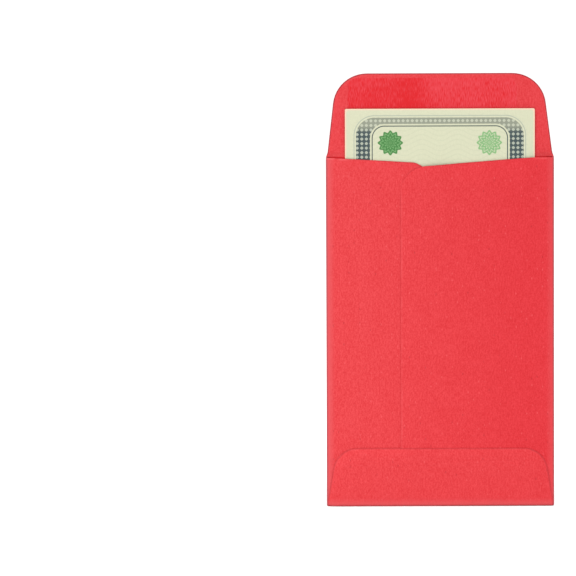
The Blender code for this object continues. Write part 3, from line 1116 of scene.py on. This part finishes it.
def make_note_paper():
    """Pale green paper with a printed medallion, rosettes and frame, and a cream rim."""
    shader = Shader("note_paper", roughness=0.7, specular=0.25)
    place = shader.flat_place()
    relief = paper_relief(shader, place)
    x, height = shader.split(place)
    z = shader.minus(height, (NOTE_BOTTOM + NOTE_TOP) / 2.0)
    sway = shader.times(shader.wave(x, TINT_SWAY_PERIOD), TINT_SWAY)
    tint = shader.step(shader.wave(shader.total(z, sway), TINT_PERIOD), *TINT_CREST)
    colour = shader.mix(tint, NOTE_FIELD, NOTE_TINT)
    colour = add_medallion(shader, x, z, colour)
    colour = add_rosettes(shader, x, z, colour)
    colour = add_frame(shader, x, z, colour)
    margin = shader.step(rounded_frame(shader, x, z, *PRINT_FRAME), *PRINT_MARGIN)
    colour = shader.mix(margin, colour, NOTE_FIELD)
    half_width, half_height = span("note", "x")[1], (NOTE_TOP - NOTE_BOTTOM) / 2.0
    outwards = rounded_frame(shader, x, z, half_width, half_height, NOTE_RIM_CORNER)
    colour = shader.mix(shader.step(outwards, *NOTE_RIM), colour, NOTE_CREAM)
    shader.colour(shader.tone(colour, shader.step(relief, *NOISE_RANGE, *NOTE_TONE)))
    shader.bump(relief, depth=0.006)
    return shader.material


def make_glue():
    """Dried glue: cloudy cream."""
    shader = Shader("dried_glue", roughness=0.4, specular=0.5)
    place = shader.node("ShaderNodeTexCoord", {}, "Object")
    cloud = shader.noise(place, *GLUE_CLOUD)
    shader.colour(shader.tone(GLUE_CREAM, shader.step(cloud, *NOISE_RANGE, *GLUE_TONE)))
    shader.bump(cloud, depth=0.02)
    return shader.material


def make_floor_material():
    """Matt white, with a painted pool of light: it is painted a little dimmer away from the
    envelope.
    """
    shader = Shader("floor_paper", roughness=0.9, specular=0.1)
    place = shader.node("ShaderNodeTexCoord", {}, "Object")
    cloud = shader.noise(place, *FLOOR_CLOUD)
    reach = shader.node("ShaderNodeVectorMath", {0: place}, "Value", operation="LENGTH")
    # Painted pool of light: the white is painted dimmer away from the envelope
    white = shader.mix(shader.step(reach, *FLOOR_FADE), FLOOR_WHITE, FLOOR_FAR_WHITE)
    shader.colour(shader.tone(white, shader.step(cloud, *NOISE_RANGE, *FLOOR_TONE)))
    return shader.material


# Studio

def add_floor(material):
    """Large flat floor just below the envelope."""
    mesh = bpy.data.meshes.new("floor")
    shape = bmesh.new()
    bmesh.ops.create_grid(
        shape, x_segments=FLOOR_SQUARES, y_segments=FLOOR_SQUARES, size=FLOOR_SIZE
    )
    bmesh.ops.translate(shape, verts=shape.verts[:], vec=(0.0, 0.0, -FLOOR_BELOW))
    shape.to_mesh(mesh)
    shape.free()
    mesh.materials.append(material)
    floor = bpy.data.objects.new("floor", mesh)
    bpy.context.scene.collection.objects.link(floor)


def add_key():
    """Small soft light at the left, in front, at half the height of the envelope."""
    light = bpy.data.lights.new("key", "AREA")
    light.shape = "DISK"
    light.size = KEY_SIZE
    light.energy = KEY_POWER
    lamp = bpy.data.objects.new("key", light)
    lamp.location = KEY_PLACE
    lamp.rotation_euler = (KEY_AIM - KEY_PLACE).to_track_quat("-Z", "Y").to_euler()
    bpy.context.scene.collection.objects.link(lamp)


def add_sun():
    """Soft light from above and a little in front, which keeps the floor white."""
    light = bpy.data.lights.new("overhead", "SUN")
    light.energy = SUN_POWER
    light.angle = math.radians(SUN_SPREAD)
    lamp = bpy.data.objects.new("overhead", light)
    lamp.rotation_euler = (math.radians(SUN_TILT), 0.0, 0.0)
    bpy.context.scene.collection.objects.link(lamp)


def add_world():
    """Even white light from all sides."""
    world = bpy.data.worlds.new("studio")
    world.use_nodes = True
    background = world.node_tree.nodes["Background"]
    background.inputs["Color"].default_value = WORLD_WHITE
    background.inputs["Strength"].default_value = WORLD_POWER
    bpy.context.scene.world = world


def add_camera():
    """Far camera with a long lens, which looks a little down on the seam side."""
    data = bpy.data.cameras.new("camera")
    data.lens = CAMERA_LENS
    data.sensor_width = CAMERA_SENSOR
    data.clip_start, data.clip_end = CAMERA_NEAR, CAMERA_FAR
    camera = bpy.data.objects.new("camera", data)
    tilt = math.radians(CAMERA_ELEVATION)
    distance = FRAME_WIDTH * CAMERA_LENS / CAMERA_SENSOR
    back = Vector((0.0, -math.cos(tilt), math.sin(tilt)))
    camera.location = CAMERA_AIM + back * distance
    roll = Quaternion((0.0, 0.0, 1.0), math.radians(CAMERA_ROLL))
    camera.rotation_euler = ((-back).to_track_quat("-Z", "Y") @ roll).to_euler()
    bpy.context.scene.collection.objects.link(camera)
    bpy.context.scene.camera = camera


def build_studio():
    """Plain white studio with the camera of the photo."""
    bpy.context.scene.view_settings.view_transform = "Standard"
    add_world()
    add_floor(make_floor_material())
    add_key()
    add_sun()
    add_camera()


# Envelope and note

def dress(piece, material, slot_name, *nodes):
    """Gives a piece its material, and hides the CAD nodes that it stands for. slot_name is not
    used.
    """
    piece.data.materials.append(material)
    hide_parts(*nodes)


def build_envelope():
    """The four red sheets, the gum on the flap, and the glue of the CAD nodes."""
    red = make_red_paper()
    left = side_sheet(
        "left_side_sheet", "left_side_panel", LEFT_FOLD, full_paper, under_press, under_looks
    )
    dress(left, red, "red_paper", "left_side_panel", "left_fold")
    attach(left, "envelope")
    right = side_sheet(
        "right_side_sheet", "right_side_panel", RIGHT_FOLD, over_thickness, over_press,
        over_looks,
    )
    dress(right, red, "red_paper", "right_side_panel", "right_fold")
    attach(right, "envelope")
    bottom = bottom_sheet()
    dress(bottom, red, "red_paper", "bottom_flap", "bottom_fold")
    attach(bottom, "envelope")
    address = address_sheet()
    dress(address, red, "red_paper", "address_panel", "seal_flap")
    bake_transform(address)
    gum = gum_film()
    dress(gum, make_gum(), "dried_gum", "flap_gum")
    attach(gum, "flap")
    glue = make_glue()
    for node in ("side_seam_glue", "left_bottom_glue", "right_bottom_glue"):
        frame["nodes"][node].material_slots[0].material = glue


def build_note():
    """The printed note."""
    note = note_sheet()
    dress(note, make_note_paper(), "note_paper", "note", "note_end")
    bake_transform(note)


build_studio()
build_envelope()
build_note()
